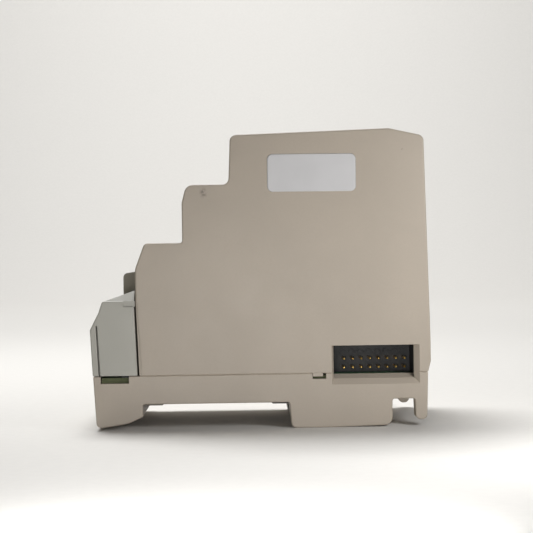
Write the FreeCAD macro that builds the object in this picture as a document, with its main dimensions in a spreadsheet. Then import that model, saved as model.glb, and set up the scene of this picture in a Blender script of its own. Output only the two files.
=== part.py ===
"""Input and output module for a programmable controller, on a 35 mm mounting rail.

The module lies on its back: X runs from the terminal end to the far end, Y along the rail,
and Z from the rail side up to the front. The origin is the middle of the footprint, on the
plane that the feet stand on. All sizes are in millimetres.
"""

import FreeCAD, Part
import os
import re

import Sketcher

# Driving dimensions: cell alias, value, meaning.
SHEET = [
    ("case_length", 98.6, "overall length, terminal end to far end"),
    ("case_width", 52.5, "width along the rail, three 17.5 mm units"),
    ("case_height", 86.4, "overall height, back of the feet to the front"),
    ("parting_height", 15.7, "height of the joint between base and cover"),
    ("wall", 2.0, "thickness of the end walls, steps and front"),
    ("side_wall", 2.0, "thickness of the two side walls"),
    ("cover_rim", 0.5, "rounding along the cover's side faces"),
    ("base_rim", 0.4, "rounding along the base's side faces"),
    ("corner_round", 1.5, "rounding of the outer corners"),
    ("inner_round", 0.7, "rounding of the inside corners"),
    ("seam_chamfer", 0.22, "chamfer on both lips of the joint"),
    ("bay_depth", 13.3, "length of the terminal bay, from the terminal end"),
    ("bay_lean", 0.8, "lean of the bay's inner wall over the plug's height"),
    ("bay_edge", 0.2, "depth of the shallow step beside the bay"),
    ("first_step_run", 13.75, "length of the lower step"),
    ("second_step_run", 13.6, "length of the middle step"),
    ("first_step_height", 54.05, "height of the lower step"),
    ("second_step_height", 70.75, "height of the middle step"),
    ("front_fall", 1.4, "fall of the front towards the steps"),
    ("front_chamfer_run", 10.2, "length of the slope at the far end of the front"),
    ("front_chamfer_drop", 2.25, "drop of that slope"),
    ("end_taper", 1.3, "inward taper of the far end wall at the front"),
    ("rail_width", 35.0, "width of the mounting rail"),
    ("rail_lip", 1.0, "thickness of the rail's flange"),
    ("rail_space", 42.5, "length of the rail channel between the feet"),
    ("rail_depth", 7.45, "depth of the rail channel"),
    ("rail_grip", 1.45, "reach of the hooks behind the rail's flange"),
    ("rail_clearance", 0.3, "play between flange and hooks"),
    ("heel_length", 14.95, "length of the foot at the terminal end"),
    ("foot_length", 29.85, "length of the other foot"),
    ("notch_length", 6.5, "gap between that foot and the tail"),
    ("notch_height", 8.0, "height of that gap"),
    ("tail_lift", 1.9, "height of the tail above the feet"),
    ("tail_thickness", 4.5, "thickness along Y of the tail's two flanges"),
    ("heel_lift", 0.55, "height of the heel's outer corner above the seat"),
    ("seat_length", 11.5, "length of the flat seat under the long foot"),
    ("seat_rise", 0.42, "rise of the sole behind that seat"),
    ("floor", 2.0, "thickness of the base's floor"),
    ("hook_width", 10.0, "width of the fixed hook"),
    ("hook_height", 1.2, "thickness of the fixed hook and of the latch's nose"),
    ("latch_width", 17.6, "width of the rail latch"),
    ("latch_height", 3.0, "height of the rail latch"),
    ("nose_width", 10.0, "width of the latch's nose"),
    ("latch_play", 0.25, "play of the latch in its tunnel"),
    ("latch_travel", 3.5, "travel of the rail latch"),
    ("latch_window", 9.0, "length of the window that holds the spring"),
    ("latch_bridge", 5.0, "distance from the foot's wall to that window"),
    ("release_length", 6.5, "length of the recess that uncovers the latch's eye"),
    ("release_width", 10.0, "width of that recess"),
    ("spring_radius", 1.35, "outer radius of the latch spring"),
    ("spring_wire", 0.2, "radius of the spring's wire"),
    ("stop_thickness", 1.3, "thickness of the spring's stop"),
    ("board_top", 15.1, "height of the main board's upper face"),
    ("board_thickness", 1.6, "thickness of the boards"),
    ("board_gap", 0.3, "play around the main board"),
    ("board_screw_radius", 1.1, "shank radius of the board screws"),
    ("board_screw_pitch_x", 35.0, "distance between board screws along X"),
    ("board_screw_pitch_y", 39.0, "distance between board screws along Y"),
    ("fit", 0.1, "general clearance between fixed pieces"),
    ("pole_pitch", 5.08, "distance between terminals"),
    ("pole_wall", 0.68, "thickness of the walls between terminals"),
    ("plug_height", 37.45, "height of the terminal plug's flat top"),
    ("plug_rise", 2.9, "rise of the plug's sloping top towards the cover"),
    ("plug_gap", 0.5, "gap between plug and cover"),
    ("plug_seam", 0.15, "gap between plug and base"),
    ("plug_floor_height", 3.0, "height of the plug's bottom plate"),
    ("tongue_thickness", 1.35, "thickness of the spring tongue in the plug's end"),
    ("tongue_slit", 0.5, "width of the slit beside the tongue"),
    ("screw_offset", 6.65, "terminal screws, from the terminal end"),
    ("screw_radius", 1.25, "shank radius of a terminal screw"),
    ("screw_head", 1.75, "head radius of a terminal screw"),
    ("screw_seat", 33.45, "height of the seat under a terminal screw's head"),
    ("cage_length", 4.6, "length of a clamping cage"),
    ("cage_play", 0.2, "play of a cage in its room"),
    ("cage_width", "=pole_pitch - pole_wall - 2*cage_play", "width of a clamping cage"),
    ("cage_height", 6.4, "height of a clamping cage"),
    ("cage_wall", 0.6, "thickness of a cage's sides"),
    ("cage_bottom", 20.65, "height of the open cage's lower face"),
    ("cage_travel", 2.25, "rise of a cage, five turns of the screw"),
    ("bar_height", 24.45, "height of the contact bar's lower face"),
    ("bar_thickness", 0.8, "thickness of the contact bar"),
    ("entry_height", 3.5, "height of a wire entry"),
    ("pin_offset", 10.5, "terminal pins, from the terminal end"),
    ("pin_side", 1.0, "side of a square terminal pin"),
    ("pin_play", 0.3, "room beside a pin for the plug's leaning way out"),
    ("pin_strip_height", 1.8, "height of the strip round the pins"),
    ("leaf", 0.45, "thickness of a contact's leaves"),
    ("contact_width", 2.0, "width of a contact's bar and leaves"),
    ("bus_left", 21.1, "start of the bus opening along X"),
    ("bus_length", 23.35, "length of the bus opening"),
    ("bus_top", 23.65, "height of the bus opening's upper edge"),
    ("bus_bevel", 1.6, "bevel at the far end of the bus opening"),
    ("bus_edge", 0.6, "small bevel at the near end of the bus opening"),
    ("sill_height", 14.0, "height of the sill under the bus opening"),
    ("sill_bevel", 1.65, "bevel along the outer edge of the sill"),
    ("sill_rise", 1.2, "rise of the sill towards the inside"),
    ("sill_depth", 4.0, "depth of the sill behind the side face"),
    ("bus_depth", 12.0, "depth of the bus opening"),
    ("bus_pitch", 2.54, "distance between bus pins"),
    ("bus_row_height", 16.85, "height of the lower row of bus pins"),
    ("bus_pin_tip", 5.7, "depth of the pin tips behind the side face"),
    ("bus_pin_side", 0.64, "side of a square bus pin"),
    ("bus_pin_taper", 0.45, "length of the tapered tip of a bus pin"),
    ("bus_pin_end", 0.3, "side of that tip at its end"),
    ("bus_arch", 1.05, "outer radius of the arches over the bus pins"),
    ("bus_arch_band", 0.3, "width and relief of those arches"),
    ("bus_mouth", 1.4, "depth of the bevels round the bus opening"),
    ("hood", 0.8, "thickness of the bus hood"),
    ("snap_x", 14.9, "start of the snap window along X"),
    ("snap_length", 3.95, "length of the snap window"),
    ("tongue_drop", 2.1, "drop of the windows under the plug's tongues"),
    ("snap_drop", 1.6, "height of the snap window"),
    ("slot_width", 2.0, "width of the cooling slots"),
    ("slot_length", 15.0, "length of the cooling slots in the far end"),
    ("slot_pitch", 5.0, "distance between cooling slots"),
    ("panel_length", 40.0, "length of the front panel"),
    ("panel_width", 45.0, "width of the front panel"),
    ("panel_thickness", 0.7, "thickness of the front panel"),
    ("pipe_radius", 1.3, "radius of a light pipe"),
    ("strip_length", 9.0, "length of the marking strip"),
    ("strip_width", 44.0, "width of the marking strip"),
    ("strip_paper", 0.3, "thickness of the paper strip"),
    ("strip_window", 0.9, "thickness of the strip's clear cover"),
    ("label_x", 15.4, "middle of the side label along X"),
    ("label_length", 25.6, "length of the side label"),
    ("label_height", 10.5, "height of the side label"),
    ("label_thickness", 0.15, "thickness of the side label"),
    ("label_corner", 1.4, "corner radius of the side label"),
    ("label_tilt", 1.3, "tilt of the side label in degrees"),
    ("grip_height", 7.4, "height of the plug's pull grip above the plug"),
    ("grip_depth", 4.0, "depth of the grip's foot in the plug"),
    ("grip_length", 6.3, "length of the pull grip"),
    ("grip_thickness", 3.6, "thickness of the pull grip"),
]
SIZES = {alias: value for alias, value, meaning in SHEET}

POLES = 8
BUS_COLUMNS = 8
BUS_ROWS = 2
END_SLOTS = 8
STEP_SLOTS = 8
GRIP_GROOVES = 3

# Places worked out from the driving dimensions, each a formula in their names.
PLACES = {
    "half_width": "case_width/2",
    "inner_width": "half_width - side_wall",
    "left_end": "-case_length/2",
    "right_end": "case_length/2",
    "cover_left": "left_end + bay_depth",
    "first_riser": "cover_left + first_step_run",
    "second_riser": "first_riser + second_step_run",
    "front_left": "second_riser + 0.6",
    "front_right": "right_end - end_taper - front_chamfer_run",
    "front_end": "right_end - end_taper",
    "front_low": "case_height - front_fall",
    "front_slope": "front_fall/(front_right - front_left)",
    "base_left": "left_end + 0.75",
    "base_right": "right_end - 0.85",
    "channel_left": "left_end + heel_length",
    "channel_right": "channel_left + rail_space",
    "foot_right": "channel_right + foot_length",
    "tail_left": "foot_right + notch_length",
    "floor_top": "rail_depth + floor",
    "rail_left": "(channel_left + channel_right - rail_width)/2",
    "rail_right": "rail_left + rail_width",
    "hook_top": "rail_depth - rail_lip - rail_clearance",
    "latch_end": "foot_right - 0.6",
    "latch_tip": "rail_right - rail_grip",
    "latch_low": "hook_top - latch_height",
    "nose_start": "channel_right + 1.0",
    "window_left": "channel_right + latch_bridge",
    "window_right": "window_left + latch_window",
    "stop_right": "window_right - rail_clearance",
    "stop_left": "stop_right - stop_thickness",
    "board_low": "board_top - board_thickness",
    "board_left": "base_left + wall + board_gap",
    "board_right": "base_right - wall - board_gap",
    "board_side": "inner_width - board_gap",
    "screw_centre_x": "(channel_left + channel_right)/2",
    "plug_left": "left_end",
    "plug_right": "cover_left - plug_gap",
    "lean_rate": "bay_lean/(plug_height - parting_height)",
    "plug_low": "parting_height + plug_seam",
    "plug_inner": "half_width - tongue_thickness - 0.6",
    "plug_deck": "plug_low + plug_floor_height",
    "first_pole": "-plug_inner + pole_wall + pole_pitch/2",
    "terminal_x": "left_end + screw_offset",
    "cage_left": "terminal_x - cage_length/2",
    "cage_right": "terminal_x + cage_length/2",
    "cage_roof": "cage_bottom + cage_height + cage_travel + 0.4",
    "pin_x": "left_end + pin_offset",
    "socket_left": "pin_x - pin_side/2 - fit - leaf",
    "socket_right": "pin_x + pin_side/2 + pin_play + leaf",
    "bus_right": "bus_left + bus_length",
    "bus_middle": "bus_left + bus_length/2 + 0.6",
    "bus_first": "bus_middle - 3.5*bus_pitch",
    "panel_left": "front_left + 3.0",
    "strip_x": "(first_riser + second_riser)/2 + 0.4",
    "label_z": "case_height - 12.6",
    "led_board_top": "case_height - 6.8",
    "riser_left": "front_left + 3.6",
    "riser_right": "right_end - end_taper - wall - 2.0",
    "grip_left": "plug_left + 5.95",
    "grip_right": "grip_left + grip_length",
    "grip_outer": "plug_inner - 1.2",
    "grip_inner": "grip_outer - grip_thickness",
}

doc = FreeCAD.newDocument("io_module")
sheet = doc.addObject("Spreadsheet::Sheet", "dims")
node_labels = []


def fill_sheet():
    """Writes every driving dimension and its meaning into the spreadsheet."""
    for row, (alias, value, meaning) in enumerate(SHEET, 1):
        sheet.set(f"A{row}", alias)
        sheet.set(f"B{row}", str(value))
        sheet.set(f"C{row}", meaning)
        sheet.setAlias(f"B{row}", alias)
    doc.recompute()


def link(text):
    """A formula in plain names, as an expression on the spreadsheet's cells."""

    def swap(match):
        word = match.group(0)
        if word in PLACES:
            return "(" + link(PLACES[word]) + ")"
        return "dims." + word if word in SIZES else word

    return re.sub(r"[a-z][a-z0-9_]*", swap, str(text))


def number(text):
    """The present value of a formula."""
    return float(sheet.evalExpression(link(text)))


def at_node(obj, label):
    """Names an object as a finished sub-part."""
    obj.Label = label
    node_labels.append(label)
    return obj


def box(x, y, z, label="block"):
    """A block between two formulas along each axis."""
    obj = doc.addObject("Part::Box", label)
    for prop, place, (low, high) in zip(("Length", "Width", "Height"), "xyz", (x, y, z)):
        obj.setExpression(prop, link(f"({high}) - ({low})"))
        obj.setExpression(f"Placement.Base.{place}", link(low))
    return obj


def rod(axis, centre, span, radius, label="rod"):
    """A cylinder along an axis: centre gives the other two coordinates in X, Y, Z order."""
    obj = doc.addObject("Part::Cylinder", label)
    turns = {
        "x": FreeCAD.Rotation(FreeCAD.Vector(0, 1, 0), 90),
        "y": FreeCAD.Rotation(FreeCAD.Vector(1, 0, 0), -90),
        "z": FreeCAD.Rotation(),
    }
    obj.Placement = FreeCAD.Placement(FreeCAD.Vector(), turns[axis])
    others = iter(centre)
    for place in "xyz":
        formula = span[0] if place == axis else next(others)
        obj.setExpression(f"Placement.Base.{place}", link(formula))
    obj.setExpression("Height", link(f"({span[1]}) - ({span[0]})"))
    obj.setExpression("Radius", link(radius))
    return obj


def group(tools, label="pieces"):
    """Several objects kept apart as one compound."""
    obj = doc.addObject("Part::Compound", label)
    obj.Links = tools
    return obj


def join(tools, label="joined"):
    """Several objects fused into one."""
    obj = doc.addObject("Part::MultiFuse", label)
    obj.Shapes = tools
    obj.Refine = True
    return obj


def cut(base, tools, label="cut"):
    """An object less several others."""
    obj = doc.addObject("Part::Cut", label)
    obj.Base = base
    obj.Tool = tools[0] if len(tools) == 1 else join(tools, "tools")
    obj.Refine = True
    return obj


def mirrored(low, high):
    """The same span on the other side of the middle plane."""
    return f"-({high})", f"-({low})"


def both_sides(low, high):
    """A Y span and its mirror image."""
    return [(low, high), mirrored(low, high)]


def about(middle, half):
    """The span that reaches half to each side of a middle."""
    return f"({middle}) - ({half})", f"({middle}) + ({half})"


def slab(outline, span, label="slab", plane="XZ_Plane"):
    """A PartDesign body: an outline of formulas on a plane, padded between two formulas across it."""
    body = doc.addObject("PartDesign::Body", label)
    base = [f for f in body.Origin.OriginFeatures if f.Role == plane][0]
    sketch = body.newObject("Sketcher::SketchObject", label + "_outline")
    sketch.AttachmentSupport = [(base, "")]
    sketch.MapMode = "FlatFace"
    points = [FreeCAD.Vector(number(a), number(b), 0) for a, b in outline]
    count = len(points)
    for i in range(count):
        sketch.addGeometry(Part.LineSegment(points[i], points[(i + 1) % count]), False)
    for i in range(count):
        sketch.addConstraint(Sketcher.Constraint("Coincident", i, 2, (i + 1) % count, 1))
    for i, (a, b) in enumerate(outline):
        for kind, formula, value in (("DistanceX", a, points[i].x), ("DistanceY", b, points[i].y)):
            k = sketch.addConstraint(Sketcher.Constraint(kind, -1, 1, i, 1, value))
            sketch.setExpression(f"Constraints[{k}]", link(formula))
    pad = body.newObject("PartDesign::Pad", label + "_pad")
    pad.Profile = sketch
    pad.setExpression("Length", link(f"({span[1]}) - ({span[0]})"))
    starts = {"XZ_Plane": ("y", span[1]), "XY_Plane": ("z", span[0]), "YZ_Plane": ("x", span[0])}
    place, start = starts[plane]
    body.setExpression("Placement.Base." + place, link(start))
    doc.recompute()
    return body


def dress(body, kind, size, chosen):
    """Adds a PartDesign fillet or chamfer on the edges that a test picks."""
    last = body.Tip
    names = [f"Edge{i}" for i, edge in enumerate(last.Shape.Edges, 1) if chosen(edge)]
    if not names:
        raise RuntimeError(f"{body.Label}: no edge found for the {kind.lower()}")
    feature = body.newObject("PartDesign::" + kind, f"{body.Name}_{kind.lower()}")
    feature.Base = (last, names)
    feature.setExpression("Radius" if kind == "Fillet" else "Size", link(size))
    doc.recompute()
    return feature


def along_y(*corners):
    """A test for the edges that run along Y through the given (x, z) corners."""
    places = [(number(x), number(z)) for x, z in corners]

    def chosen(edge):
        ends = [v.Point for v in edge.Vertexes]
        return len(ends) == 2 and any(
            all(abs(p.x - x) < 1e-4 and abs(p.z - z) < 1e-4 for p in ends) for x, z in places
        )

    return chosen


def in_side_faces(body, keep_off=None):
    """A test for the edges of a body's two side faces, apart from those at one height."""
    bound = body.Tip.Shape.BoundBox
    height = None if keep_off is None else number(keep_off)

    def chosen(edge):
        b = edge.BoundBox
        if b.YLength > 1e-4 or min(abs(b.YMin - bound.YMin), abs(b.YMax - bound.YMax)) > 1e-4:
            return False
        return height is None or abs(b.ZMin - height) > 1e-4 or b.ZLength > 1e-4

    return chosen


def at_height(height):
    """A test for the edges that lie flat at a height."""
    level = number(height)
    return lambda edge: abs(edge.BoundBox.ZMin - level) < 1e-4 and edge.BoundBox.ZLength < 1e-4


# ---------------------------------------------------------------- case


def case_outline():
    """Corners of the stepped cover, from the foot of the terminal bay round to the far end."""
    return [
        ("cover_left + bay_lean", "parting_height"),
        ("cover_left", "plug_height"),
        ("cover_left", "first_step_height - 7.4"),
        ("cover_left + 2.8", "first_step_height"),
        ("first_riser", "first_step_height"),
        ("first_riser", "second_step_height - 5.2"),
        ("first_riser + 1.35", "second_step_height"),
        ("second_riser", "second_step_height"),
        ("front_left", "front_low"),
        ("front_right", "case_height"),
        ("front_end", "case_height - front_chamfer_drop"),
        ("right_end", "parting_height + 9.5"),
        ("right_end", "parting_height + 3.1"),
        ("right_end - 0.8", "parting_height"),
    ]


def hollow_outline():
    """The same corners, one wall thickness further in."""
    return [
        ("cover_left + bay_lean + wall", "parting_height - 1"),
        ("cover_left + wall", "plug_height"),
        ("cover_left + wall", "first_step_height - 7.0"),
        ("cover_left + 2.8 + 0.7*wall", "first_step_height - wall"),
        ("first_riser + wall", "first_step_height - wall"),
        ("first_riser + wall", "second_step_height - 5.0"),
        ("first_riser + 1.35 + 0.7*wall", "second_step_height - wall"),
        ("second_riser + wall", "second_step_height - wall"),
        ("front_left + wall", "front_low - wall"),
        ("front_right", "case_height - wall"),
        ("front_end - wall", "case_height - front_chamfer_drop - 0.8*wall"),
        ("right_end - wall", "parting_height + 9.5"),
        ("right_end - wall", "parting_height - 1"),
    ]


def front_height(x):
    """Height of the sloping front above a place along X."""
    return f"(case_height - front_slope*(front_right - ({x})))"


def light_pipe_places():
    """(x, y) formulas of the channel lamps and the supply lamp in the front."""
    rows = ["panel_left + 5.0", "panel_left + 12.0"]
    places = [(x, f"({i} - 3.5)*pole_pitch") for x in rows for i in range(POLES)]
    return places + [("panel_left + panel_length - 5.0", "3.5*pole_pitch")]


def through_wall(side, outer, inner):
    """A Y span on one side, from outside the side face to a depth behind it."""
    low, high = f"half_width - ({inner})", f"half_width + ({outer})"
    return (low, high) if side > 0 else mirrored(low, high)


def behind_face(side, near, far):
    """A Y span between two depths behind one side face."""
    low, high = f"half_width - ({far})", f"half_width - ({near})"
    return (low, high) if side > 0 else mirrored(low, high)


def flare(side, inner, outer, near, far, label):
    """A tapered block between two depths behind a side face, from its inner and outer (x, z) spans."""
    wedge = doc.addObject("Part::Wedge", label)
    low, high = behind_face(side, near, far)
    wedge.setExpression("Ymin", link(low))
    wedge.setExpression("Ymax", link(high))
    first, last = (inner, outer) if side > 0 else (outer, inner)
    for spans, ending in ((first, ""), (last, "2")):
        for axis, (start, end) in zip("XZ", spans):
            wedge.setExpression(f"{axis}{ending}min", link(start))
            wedge.setExpression(f"{axis}{ending}max", link(end))
    return wedge


def bus_opening(side):
    """Tools that open one side wall for the bus and bevel its mouth: side is -1 or 1."""
    opening = (("bus_left", "bus_right"), ("sill_height", "bus_top"))
    mouth = (("bus_left - bus_edge", "bus_right + bus_bevel"), ("sill_height - sill_bevel", "bus_top"))
    return [
        box(opening[0], through_wall(side, "0.5", "side_wall + 0.1"), opening[1], "bus_mouth"),
        flare(side, opening, mouth, "-0.01", "bus_mouth", "bus_bevels"),
    ]


def make_cover():
    """The stepped cover: a thin shell with openings for lamps, bus, snaps and cooling air."""
    outer = slab(case_outline(), ("-half_width", "half_width"), "cover_shell")
    corners = case_outline()
    dress(outer, "Fillet", "corner_round", along_y(corners[3]))
    dress(outer, "Fillet", "1.7*corner_round", along_y(corners[6]))
    dress(outer, "Fillet", "1.3*corner_round", along_y(corners[8], corners[10]))
    dress(outer, "Fillet", "inner_round", along_y(corners[4]))
    dress(outer, "Fillet", "2.6*inner_round", along_y(corners[7]))
    dress(outer, "Fillet", "3.5", along_y(*(corners[i] for i in (2, 5, 9, 11))))
    dress(outer, "Fillet", "cover_rim", in_side_faces(outer, "parting_height"))
    dress(outer, "Chamfer", "seam_chamfer", at_height("parting_height"))
    hollow = slab(hollow_outline(), ("-inner_width", "inner_width"), "cover_hollow")
    tools = [hollow]
    for side in (-1, 1):
        tools += bus_opening(side)
        tools.append(
            slab(
                [
                    ("cover_left - 1", "parting_height - 1"),
                    ("cover_left + bay_lean + 0.9", "parting_height - 1"),
                    ("cover_left + 0.5", "plug_height"),
                    ("cover_left - 1", "plug_height"),
                ],
                through_wall(side, "1", "bay_edge"),
                "bay_step",
            )
        )
    tools += cooling_slots() + front_pockets()
    shell = cut(outer, tools, "cover_cut")
    snaps = [
        box(
            ("snap_x + fit", "snap_x + snap_length - 0.95"),
            y,
            ("parting_height - 0.9", "parting_height + 0.6"),
            "snap_tongue",
        )
        for y in both_sides("inner_width", "half_width - 0.1")
    ]
    at_node(join([shell] + snaps, "cover"), "cover")


def cooling_slots():
    """Tools for the slots in the far end and in the riser above the lower step."""
    tools = []
    for i in range(END_SLOTS):
        z = f"parting_height + 14.0 + {i}*slot_pitch"
        for y in both_sides("3.0", "3.0 + slot_length"):
            x = ("right_end - wall - 3", "right_end + 1")
            tools.append(box(x, y, (z, z + " + slot_width"), "end_slot"))
    for i in range(STEP_SLOTS):
        tools.append(
            box(
                ("first_riser - 1", "first_riser + wall + 0.3"),
                about(f"({i} - 3.5)*slot_pitch", "slot_width/2"),
                ("first_step_height + 2.2", "second_step_height - 8.0"),
                "step_slot",
            )
        )
    return tools


def front_pockets():
    """Tools for the front panel's pocket, the lamp holes and the marking strip's pocket."""
    panel_end = "panel_left + panel_length"
    panel_pocket = slab(
        [
            ("panel_left", front_height("panel_left") + " - panel_thickness"),
            ("panel_left", front_height("panel_left") + " + 1"),
            (panel_end, front_height(panel_end) + " + 1"),
            (panel_end, front_height(panel_end) + " - panel_thickness"),
        ],
        about("0", "panel_width/2"),
        "panel_pocket",
    )
    strip_pocket = box(
        about("strip_x", "strip_length/2"),
        about("0", "strip_width/2"),
        ("second_step_height - strip_paper - strip_window", "second_step_height + 1"),
        "strip_pocket",
    )
    return [panel_pocket, strip_pocket] + lamp_holes()


def lamp_holes():
    """Tools for the holes that the light pipes pass through."""
    height = ("case_height - 6", "case_height + 1")
    return [rod("z", place, height, "pipe_radius + fit/2", "lamp_hole") for place in light_pipe_places()]


def base_outline():
    """Corners of the base, from the heel's lower corner round by the feet to the joint."""
    return [
        ("left_end + 1.6", "heel_lift"),
        ("channel_left - 4.2", "heel_lift + 1.35"),
        ("channel_left", "heel_lift + 3.25"),
        ("channel_left", "rail_depth"),
        ("channel_right", "rail_depth"),
        ("channel_right + 0.55", "0"),
        ("channel_right + seat_length", "0"),
        ("foot_right - 0.1", "seat_rise"),
        ("foot_right", "notch_height"),
        ("tail_left", "notch_height"),
        ("tail_left + 0.2", "tail_lift"),
        ("right_end - 1.25", "tail_lift"),
        ("base_right", "parting_height"),
        ("base_left", "parting_height"),
    ]


def make_base():
    """The base: feet, rail channel with its fixed hook, latch tunnel, board seats and posts."""
    outer = slab(base_outline(), ("-half_width", "half_width"), "base_shell")
    corners = base_outline()
    dress(outer, "Fillet", "corner_round", along_y(*(corners[i] for i in (0, 5, 10, 11))))
    dress(outer, "Fillet", "1.5*corner_round", along_y(corners[7]))
    dress(outer, "Fillet", "inner_round", along_y(*(corners[i] for i in (2, 3, 4, 8, 9))))
    dress(outer, "Fillet", "6.0", along_y(corners[1]))
    dress(outer, "Fillet", "base_rim", in_side_faces(outer, "parting_height"))
    dress(outer, "Chamfer", "seam_chamfer", at_height("parting_height"))
    shell = cut(outer, base_hollows() + base_side_openings(), "base_cut")
    posts = [
        rod("z", place, ("floor_top - 0.5", "board_low"), "board_screw_radius + 1.6", "board_post")
        for place in board_screw_places()
    ]
    pilots = [
        rod("z", place, ("floor_top + 0.4", "board_low + 1"), "board_screw_radius + fit/2", "pilot_hole")
        for place in board_screw_places()
    ]
    whole = join([shell] + base_additions() + posts, "base_whole")
    at_node(cut(whole, pilots, "base"), "base")


def base_hollows():
    """Tools that hollow the base: tray, heel, foot, latch tunnel and the recess at its eye."""
    inside = ("-inner_width", "inner_width")
    top = "parting_height + 1"
    tunnel = ("-latch_width/2 - latch_play", "latch_width/2 + latch_play")
    tools = [
        box(("base_left + wall", "base_right - wall"), inside, ("floor_top", top), "tray"),
        box(("left_end + 1.6 + wall", "channel_left - wall"), inside,
            ("heel_lift + 3.25 + floor", top), "heel_hollow"),
        box(("channel_right - 1", "foot_right + 1"), tunnel,
            ("latch_low - latch_play", "hook_top + latch_play"), "latch_tunnel"),
        box(("foot_right - release_length", "foot_right + 1"), ("-release_width/2", "release_width/2"),
            ("-1", "hook_top"), "release_recess"),
        box(("foot_right + 1", "right_end + 1"), about("0", "half_width - tail_thickness"),
            ("-1", "notch_height"), "tail_gap"),
    ]
    for y in both_sides("latch_width/2 + latch_play + wall", "inner_width"):
        x = ("channel_right + wall + 0.3", "foot_right - wall - 0.2")
        tools.append(box(x, y, ("floor", top), "foot_hollow"))
    return tools


def base_side_openings():
    """Tools for the openings in both side walls of the base: bus, snap windows, tongue windows."""
    tools = []
    for side in (-1, 1):
        tools += bus_opening(side)
        wall_span = through_wall(side, "1", "side_wall + 0.1")
        tools.append(box(("snap_x", "snap_x + snap_length"), wall_span,
                         ("parting_height - snap_drop", "parting_height + 1"), "snap_window"))
        tools.append(box(("left_end + 2.9", "left_end + 11.1"), wall_span,
                         ("parting_height - tongue_drop", "parting_height + 1"), "tongue_window"))
    return tools


def base_additions():
    """Pieces moulded onto the base: spring stop, board ledges, sills and the fixed rail hook."""
    inside = ("-inner_width - 0.2", "inner_width + 0.2")
    stop_heights = ("latch_low - latch_play - 0.5", "hook_top + latch_play + 0.5")
    ledge_heights = ("floor_top - 0.5", "board_low")
    added = [
        box(("stop_left", "stop_right"), ("-2.6", "2.6"), stop_heights, "spring_stop"),
        box(("base_left + 1", "board_left + 1.2"), inside, ledge_heights, "board_ledge"),
        box(("board_right - 1.2", "base_right - 1"), inside, ledge_heights, "board_ledge"),
    ]
    for side in (-1, 1):
        added.append(
            slab(
                [
                    (f"{side}*(half_width - bus_mouth)", "sill_height - 2.5"),
                    (f"{side}*(half_width - bus_mouth)", "sill_height"),
                    (f"{side}*(half_width - sill_depth)", "sill_height + sill_rise"),
                    (f"{side}*(half_width - sill_depth)", "sill_height - 2.5"),
                ],
                ("bus_left - 0.3", "bus_right + 0.3"),
                "bus_sill",
                "YZ_Plane",
            )
        )
    added.append(
        slab(
            [
                ("rail_left + rail_grip", "hook_top"),
                ("rail_left + rail_grip", "hook_top - hook_height/2"),
                ("rail_left + rail_grip/2", "hook_top - hook_height"),
                ("channel_left - 1.0", "hook_top - hook_height"),
                ("channel_left - 1.0", "hook_top"),
            ],
            about("0", "hook_width/2"),
            "rail_hook",
        )
    )
    return added


def board_screw_places():
    """(x, y) formulas of the four board screws."""
    return [
        (f"screw_centre_x {sx} board_screw_pitch_x/2", f"{sy} board_screw_pitch_y/2")
        for sx in "-+"
        for sy in ("-", "")
    ]


# ---------------------------------------------------------------- rail latch


def make_rail_latch():
    """The sprung latch, its nose bevelled to ride over the rail, with a screwdriver eye."""
    plate = slab(
        [
            ("latch_end", "latch_low"),
            ("nose_start + hook_height", "latch_low"),
            ("nose_start", "hook_top - hook_height"),
            ("latch_tip + rail_grip/2", "hook_top - hook_height"),
            ("latch_tip", "hook_top - hook_height/2"),
            ("latch_tip", "hook_top"),
            ("latch_end", "hook_top"),
        ],
        ("-latch_width/2", "latch_width/2"),
        "latch_plate",
    )
    dress(plate, "Fillet", "0.3", in_side_faces(plate))
    past = ("latch_low - 1", "hook_top + 1")
    window = box(("window_left", "window_right"), ("-3.0", "3.0"), past, "spring_window")
    eye = box(("latch_end - 4.6", "latch_end - 2.2"), ("-4.0", "4.0"), past, "eye")
    beside_nose = [
        box(("latch_tip - 1", "nose_start"), y, past, "nose_side")
        for y in both_sides("nose_width/2", "latch_width")
    ]
    at_node(cut(plate, [window, eye] + beside_nose, "rail_latch"), "rail_latch")


def make_latch_spring():
    """Compression spring between the base's stop and the latch."""
    length = number("stop_left - window_left - 2*spring_wire - 0.1")
    radius = number("spring_radius - spring_wire")
    wire = number("spring_wire")
    helix = Part.makeHelix(length / 6, length, radius)
    ring = Part.Wire(Part.makeCircle(wire, FreeCAD.Vector(radius, 0, 0), FreeCAD.Vector(0, 1, 0)))
    coil = Part.Wire(helix).makePipeShell([ring], True, True)
    obj = doc.addObject("Part::Feature", "latch_spring")
    obj.Shape = coil
    middle = (number("latch_low") + number("hook_top")) / 2
    start = number("window_left + spring_wire + 0.05")
    obj.Placement = FreeCAD.Placement(
        FreeCAD.Vector(start, 0, middle), FreeCAD.Rotation(FreeCAD.Vector(0, 1, 0), 90)
    )
    at_node(obj, "latch_spring")


# ---------------------------------------------------------------- boards


def make_main_board():
    """The board between base and cover, with clearance for its screws and the terminal pins."""
    past = ("board_low - 1", "board_top + 1")
    plate = box(("board_left", "board_right"), about("0", "board_side"), ("board_low", "board_top"),
                "board_plate")
    holes = [
        rod("z", place, past, "board_screw_radius + 0.3", "board_hole") for place in board_screw_places()
    ]
    for side in (-1, 1):
        notch = through_wall(side, "1", "sill_depth + board_gap")
        holes.append(box(("bus_left - 1", "bus_right + 1"), notch, past, "sill_notch"))
    half = "pin_side/2 + 0.05"
    holes += [box(about("pin_x", half), about(pole_y(i), half), past, "pin_hole") for i in range(POLES)]
    at_node(cut(plate, holes, "main_board"), "main_board")
    screws = [board_screw(x, y) for x, y in board_screw_places()]
    at_node(group(screws, "board_screws"), "board_screws")


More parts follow.
